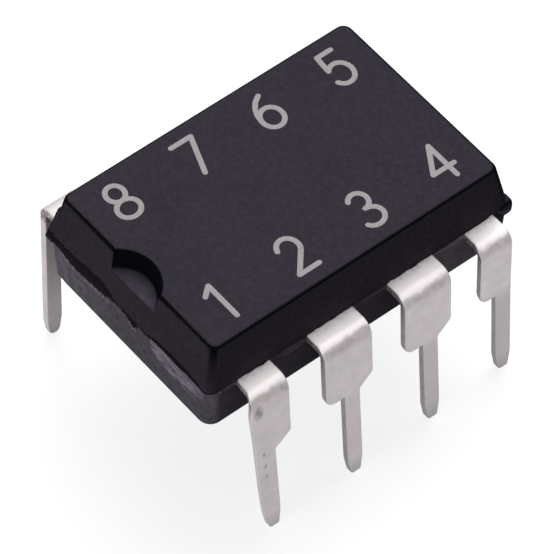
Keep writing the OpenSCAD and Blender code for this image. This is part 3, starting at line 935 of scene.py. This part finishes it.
def stamped_blank(corners, leads):
    """Flat blank with its corners rounded and its edges rolled, its outer face at zero."""
    bm = bmesh.new()
    verts = [bm.verts.new((a, b, 0)) for a, b, r in corners]
    radii = [r for a, b, r in corners]
    bm.faces.new(verts)
    for radius in sorted(set(r for r in radii if r > 0)):
        bmesh.ops.bevel(bm, geom=[v for v, r in zip(verts, radii) if r == radius],
                        offset=radius * MM, offset_type="OFFSET", segments=4, profile=0.5,
                        affect="VERTICES", material=-1)
    bmesh.ops.translate(bm, vec=(0, 0, -leads.thickness), verts=thickened(bm))
    bmesh.ops.recalc_face_normals(bm, faces=bm.faces)
    rims = [e for e in bm.edges if abs(e.verts[0].co.z - e.verts[1].co.z) < 1e-7]
    bevelled(bm, rims, leads.rolled_edge, 3)
    bm.normal_update()
    return bm


def build_lead(number, leads):
    """A lead as it is made: a flat stamped blank with rolled edges, then bent."""
    column, side, x = lead_place(number)
    near = number <= 4
    bent = number == 8
    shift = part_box("lead_8")[0].x + leads.leg_width / 2 - x if bent else 0.0
    lean = leads.near_splay[number - 1] if near else leads.far_splay
    path = LeadPath(leads, leads.bent_splay if bent else lean)
    half = leads.leg_width / 2
    left = half if column == 0 else SHOULDER_HALF
    right = half if column == 3 else SHOULDER_HALF
    root_y = BODY_HIGH.y - FLASH * MM - leads.root_depth
    root_x = x + shift + (right - left) / 2
    root_along = path.along_at(root_y)
    seat = leads.leg_length - (leads.long_shoulder if number == 1 else 0.0)
    # Middles of the leg at its seat, at its tip and where it starts to narrow
    leg = 0.0 if column in (0, 3) else leads.leg_offset
    rows = (leads.near_sway, leads.near_skew, leads.cut_slope)
    sway, skew, slope = (row[number - 1] if near else 0.0 for row in rows)
    tip_x = leg + sway
    neck = tip_x - sway * leads.tip_taper / seat

    def on_pattern(point):
        """Place across and along the blank of a point seen from above."""
        return point.x - x - shift, path.along_at(point.y)

    line = finger_line(number, leads, root_x, root_y)
    # Corners of the blank: across, along, and the corner's rounding in millimetres
    tip = leads.tip_width / 2
    tip_corner = 0.13 if bent else 0.06
    corners = [(tip_x + tip, 0, tip_corner), (neck + half, leads.tip_taper, 0.1),
               (leg + half, seat, 0.05)]
    if right > half:
        corners += [(right, seat + leads.slant, 0.08)]
    corners += [(right, root_along, 0.05)]
    finger = [on_pattern(p) for p in stroke_side(line, -leads.finger_width / 2)]
    other = [on_pattern(p) for p in stroke_side(line, leads.finger_width / 2)[::-1]]
    first, second = (finger, other) if finger[0][0] > other[-1][0] else (other[::-1], finger[::-1])
    corners += [(a, b, 0.0) for a, b in first[:-1]] + [first[-1] + (0.2,), second[0] + (0.2,)]
    corners += [(a, b, 0.0) for a, b in second[1:]]
    corners += [(-left, root_along, 0.05)]
    if left > half:
        corners += [(-left, seat, leads.corner / MM), (leg - half, seat, 0.03)]
    if number == 1:
        # The dam bar left a burr, whose share and height follow the edge down
        corners += [(-left - share * leads.burr, height * seat, 0.1)
                    for share, height in ((1, 1.5), (0.55, 1.15), (0.15, 0.55))]
    corners += [(neck - half, leads.tip_taper, 0.1), (tip_x - tip, 0, tip_corner)]

    bm = stamped_blank(corners, leads)
    sheared_and_shade = bm.faces.layers.float.new("sheared_and_shade")
    # Cut edges store their own finish with painted shade, and the sheet's inner side stores painted
    # shade
    for face in bm.faces:
        if abs(face.normal.z) >= 0.5:
            face[sheared_and_shade] = INNER if face.normal.z < 0 else 0.0
        else:
            # The outer edges of the notched end's leads were cut clean, as they show no tear
            face[sheared_and_shade] = CLEAN if column == 0 and face.normal.x < -0.5 else TORN
    cuts = [path.leg_end + (path.bend_end - path.leg_end) * k / 16 for k in range(17)]
    for along in cuts:
        slice_at(bm, (0, along, 0), (0, 1, 0))
    for v in bm.verts:
        y, z = path.point(v.co.y, -v.co.z)
        bent_x = skew
        if v.co.y < path.bend_end:
            bent_x *= min(1.0, max(0.0, z) / seat)
        if v.co.x < 0:
            held = min(1.0, v.co.y / MM, max(0.0, (path.bend_end - v.co.y) / (0.3 * MM)))
            bent_x -= slope * held * (1 + v.co.z / leads.thickness)
        if bent:
            # The bend stands up outside the body, and the leg's tip stays where it is
            rise = min(1.0, max(0.0, (y - 3.15 * MM) / (0.4 * MM)), max(0.0, z) / path.centre_z)
            z += leads.bent_rise * rise
        v.co = Vector((x + shift + v.co.x + bent_x, side * y, z))
    return mesh_from(bm, f"lead_{number}_plated")


def arc(cx, cy, rx, ry, start, end):
    """Points on part of an ellipse, from one angle to another in degrees."""
    steps = max(4, int(abs(end - start) / 15))
    angles = [math.radians(start + (end - start) * k / steps) for k in range(steps + 1)]
    return [(cx + rx * math.cos(a), cy + ry * math.sin(a)) for a in angles]


# Middle lines of the digits' strokes, in a box one unit high
DIGITS = {
    1: [[(0.08, 0.8), (0.32, 1.0)], [(0.32, 1.0), (0.32, 0.0)]],
    2: [arc(0.29, 0.71, 0.26, 0.29, 165, -35), [(0.503, 0.544), (0.03, 0.0)],
        [(0.03, 0.0), (0.58, 0.0)]],
    3: [arc(0.27, 0.76, 0.23, 0.24, 150, -90), arc(0.27, 0.26, 0.28, 0.26, 90, -150)],
    4: [[(0.44, 0.0), (0.44, 1.0)], [(0.44, 1.0), (0.0, 0.3)], [(0.0, 0.3), (0.6, 0.3)]],
    5: [[(0.5, 1.0), (0.1, 1.0)], [(0.1, 1.0), (0.06, 0.55)],
        arc(0.27, 0.32, 0.28, 0.32, 138, -150)],
    6: [arc(0.29, 0.3, 0.27, 0.3, 0, 360), arc(0.66, 0.32, 0.64, 0.7, 180, 112)],
    7: [[(0.0, 1.0), (0.56, 1.0)], [(0.56, 1.0), (0.18, 0.0)]],
    8: [arc(0.29, 0.76, 0.22, 0.24, 0, 360), arc(0.29, 0.26, 0.28, 0.26, 0, 360)],
}
DIGIT_MIDDLE = 0.3


def build_number(digit, x, y, printing):
    """A printed digit: rounded strokes flattened to a thin layer of ink on the top face."""
    half = printing.stroke / 2
    bm = bmesh.new()
    curve = bpy.data.curves.new("stroke_line", "CURVE")
    curve.dimensions = "3D"
    curve.bevel_depth = half
    curve.bevel_resolution = 2
    curve.use_fill_caps = True
    for stroke in DIGITS[digit]:
        points = [((px - DIGIT_MIDDLE) * printing.height, py * printing.height)
                  for px, py in stroke]
        spline = curve.splines.new("POLY")
        spline.points.add(len(points) - 1)
        for target, (px, py) in zip(spline.points, points):
            target.co = (px, py, 0, 1)
        for px, py in (points[0], points[-1]):
            bmesh.ops.create_uvsphere(bm, u_segments=24, v_segments=12, radius=half,
                                      matrix=Matrix.Translation((px, py, 0)))
    line = bpy.data.objects.new("stroke_line", curve)
    bpy.context.scene.collection.objects.link(line)
    graph = bpy.context.evaluated_depsgraph_get()
    tube = bpy.data.meshes.new_from_object(line.evaluated_get(graph))
    bm.from_mesh(tube)
    bpy.data.objects.remove(line)
    bpy.data.meshes.remove(tube)
    bmesh.ops.remove_doubles(bm, verts=bm.verts, dist=1e-7)
    bmesh.ops.scale(bm, vec=(1, 1, printing.layer / half), verts=bm.verts)
    bmesh.ops.translate(bm, vec=(x, y, BODY_HIGH.z), verts=bm.verts)
    return mesh_from(bm, f"number_{digit}")


class CHIP_OT_moulding(bpy.types.Operator):
    """Builds the black moulding with its notch, flash and broken gate"""

    bl_idname = "chip.moulding"
    bl_label = "Moulding"

    def execute(self, context):
        scene = context.scene
        mesh = build_moulding(scene.chip_moulding, scene.chip_leads)
        finish_object("moulding", mesh, compound_material(scene.chip_finish),
                      "moulded_body")
        return {"FINISHED"}


class CHIP_OT_leads(bpy.types.Operator):
    """Builds the eight stamped, bent and plated leads"""

    bl_idname = "chip.leads"
    bl_label = "Leads"

    def execute(self, context):
        scene = context.scene
        tin = tin_material(scene.chip_finish)
        for number in LEAD_NUMBERS:
            mesh = build_lead(number, scene.chip_leads)
            finish_object(f"plated_lead_{number}", mesh, tin, f"lead_{number}")
        return {"FINISHED"}


class CHIP_OT_numbers(bpy.types.Operator):
    """Prints the lead numbers on the top face"""

    bl_idname = "chip.numbers"
    bl_label = "Lead numbers"

    def execute(self, context):
        scene = context.scene
        printing = scene.chip_print
        moulding = scene.chip_moulding
        ink = ink_material(scene.chip_finish)
        height = BODY_HIGH.z - PARTING_Z
        edge_y = BODY_HIGH.y - moulding.flash - height * math.tan(moulding.upper_side_draft)
        near_y = -edge_y + printing.margin
        far_y = edge_y - printing.margin - printing.height
        for number in LEAD_NUMBERS:
            column = lead_place(number)[0]
            x = (column - 1.5) * printing.spacing
            mesh = build_number(number, x, near_y if number <= 4 else far_y, printing)
            finish_object(f"number_{number}", mesh, ink)
        return {"FINISHED"}


class CHIP_OT_inner_pieces(bpy.types.Operator):
    """Gives the paddle, die, die attach and bond wires their finishes"""

    bl_idname = "chip.inner_pieces"
    bl_label = "Inner pieces"

    def execute(self, context):
        finish = context.scene.chip_finish
        gold = plain_metal("gold_wire", finish.gold, 0.01, 0.2)
        finishes = {"die_paddle": plain_metal("copper_alloy", finish.copper, 0.05, 0.3),
                    "die_attach": silver_material(finish),
                    "silicon_die": silicon_material(finish)}
        for name in INNER_PIECES:
            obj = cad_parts[name]
            material = finishes.get(name, gold)
            if obj.material_slots:
                obj.material_slots[0].material = material
            else:
                obj.data.materials.append(material)
        return {"FINISHED"}


def area_lamp(name, place, size, power):
    """Square soft lamp that faces the middle of the chip."""
    data = bpy.data.lights.new(name, "AREA")
    data.shape = "SQUARE"
    data.size = size
    data.energy = power
    lamp = bpy.data.objects.new(name, data)
    bpy.context.scene.collection.objects.link(lamp)
    lamp.location = place
    aim = Vector((0, 0, PARTING_Z)) - Vector(place)
    lamp.rotation_euler = aim.to_track_quat("-Z", "Y").to_euler()


def white_seen(tree, shaded, lift):
    """Adds light that only the camera, mirrors and glass see to a shaded surface."""
    rays = add_node(tree, "ShaderNodeLightPath").outputs
    seen = rays["Is Camera Ray"]
    for operation, other in (("MAXIMUM", rays["Is Glossy Ray"]),
                             ("MAXIMUM", rays["Is Transmission Ray"]), ("MULTIPLY", lift)):
        seen = add_node(tree, "ShaderNodeMath", {0: seen, 1: other}, operation=operation).outputs[0]
    glow = add_node(tree, "ShaderNodeEmission", {"Strength": seen}).outputs[0]
    return add_node(tree, "ShaderNodeAddShader", {0: shaded, 1: glow}).outputs[0]


class CHIP_OT_studio(bpy.types.Operator):
    """Sets the floor, the soft light and the camera"""

    bl_idname = "chip.studio"
    bl_label = "Studio"

    def execute(self, context):
        scene = context.scene
        studio = scene.chip_studio
        bm = bmesh.new()
        bmesh.ops.create_grid(bm, x_segments=1, y_segments=1, size=studio.floor_size / 2)
        floor = bpy.data.objects.new("floor", mesh_from(bm, "floor"))
        scene.collection.objects.link(floor)
        paper = bpy.data.materials.new("white_paper")
        paper.use_nodes = True
        tree = paper.node_tree
        shader = tree.nodes["Principled BSDF"]
        shader.inputs["Base Color"].default_value = rgba((studio.floor_tone,) * 3)
        shader.inputs["Roughness"].default_value = 0.9
        shader.inputs["Specular IOR Level"].default_value = 0.0
        out = tree.nodes["Material Output"]
        seen = white_seen(tree, shader.outputs[0], studio.floor_lift)
        tree.links.new(seen, out.inputs["Surface"])
        floor.data.materials.append(paper)

        world = bpy.data.worlds.new("studio_world")
        scene.world = world
        world.use_nodes = True
        tree = world.node_tree
        back = tree.nodes["Background"]
        back.inputs["Color"].default_value = (1, 1, 1, 1)
        back.inputs["Strength"].default_value = studio.sky
        out = tree.nodes["World Output"]
        seen = white_seen(tree, back.outputs[0], 1 - studio.sky)
        tree.links.new(seen, out.inputs["Surface"])

        area_lamp("key_softbox", studio.key_place, studio.key_size, studio.key_power)
        area_lamp("fill_softbox", studio.fill_place, studio.fill_size, studio.fill_power)

        camera_data = bpy.data.cameras.new("camera")
        camera_data.sensor_width = SENSOR
        camera_data.lens = studio.focal_pixels / FRAME_PIXELS * SENSOR
        camera_data.clip_start = MM
        camera = bpy.data.objects.new("camera", camera_data)
        scene.collection.objects.link(camera)
        a, e, r = studio.azimuth, studio.elevation, studio.roll
        back_way = Vector((math.sin(a) * math.cos(e), -math.cos(a) * math.cos(e), math.sin(e)))
        level = Vector((math.cos(a), math.sin(a), 0))
        upward = back_way.cross(level)
        right = math.cos(r) * level - math.sin(r) * upward
        up = math.sin(r) * level + math.cos(r) * upward
        turn = Matrix((right, up, back_way)).transposed().to_4x4()
        place = Vector(studio.target) + back_way * studio.distance
        camera.matrix_world = Matrix.Translation(place) @ turn
        scene.camera = camera
        scene.view_settings.view_transform = "Standard"
        return {"FINISHED"}


class CHIP_PT_panel(bpy.types.Panel):
    """Lists the chip's pieces and sizes"""

    bl_idname = "CHIP_PT_panel"
    bl_label = "Chip"
    bl_space_type = "VIEW_3D"
    bl_region_type = "UI"
    bl_category = "Chip"

    def draw(self, context):
        layout = self.layout
        for operator in OPERATORS:
            layout.operator(operator.bl_idname)
        for name in GROUPS:
            box = layout.box()
            group = getattr(context.scene, name)
            for key in group.bl_rna.properties.keys():
                if key not in ("rna_type", "name"):
                    box.prop(group, key)


GROUPS = {
    "chip_moulding": ChipMoulding,
    "chip_leads": ChipLeads,
    "chip_finish": ChipFinish,
    "chip_print": ChipPrint,
    "chip_studio": ChipStudio,
}
OPERATORS = (CHIP_OT_studio, CHIP_OT_moulding, CHIP_OT_leads, CHIP_OT_numbers,
             CHIP_OT_inner_pieces)


def register():
    """Adds the classes and gives each scene its groups of sizes."""
    for cls in (*GROUPS.values(), *OPERATORS, CHIP_PT_panel):
        bpy.utils.register_class(cls)
    for name, cls in GROUPS.items():
        setattr(bpy.types.Scene, name, PointerProperty(type=cls))


def unregister():
    """Takes all that register added out again."""
    for name in GROUPS:
        delattr(bpy.types.Scene, name)
    for cls in (CHIP_PT_panel, *reversed(OPERATORS), *reversed(GROUPS.values())):
        bpy.utils.unregister_class(cls)


def main():
    """Builds the studio and the chip."""
    register()
    bpy.ops.chip.studio()
    bpy.ops.chip.moulding()
    bpy.ops.chip.leads()
    bpy.ops.chip.numbers()
    bpy.ops.chip.inner_pieces()


if __name__ == "__main__":
    main()
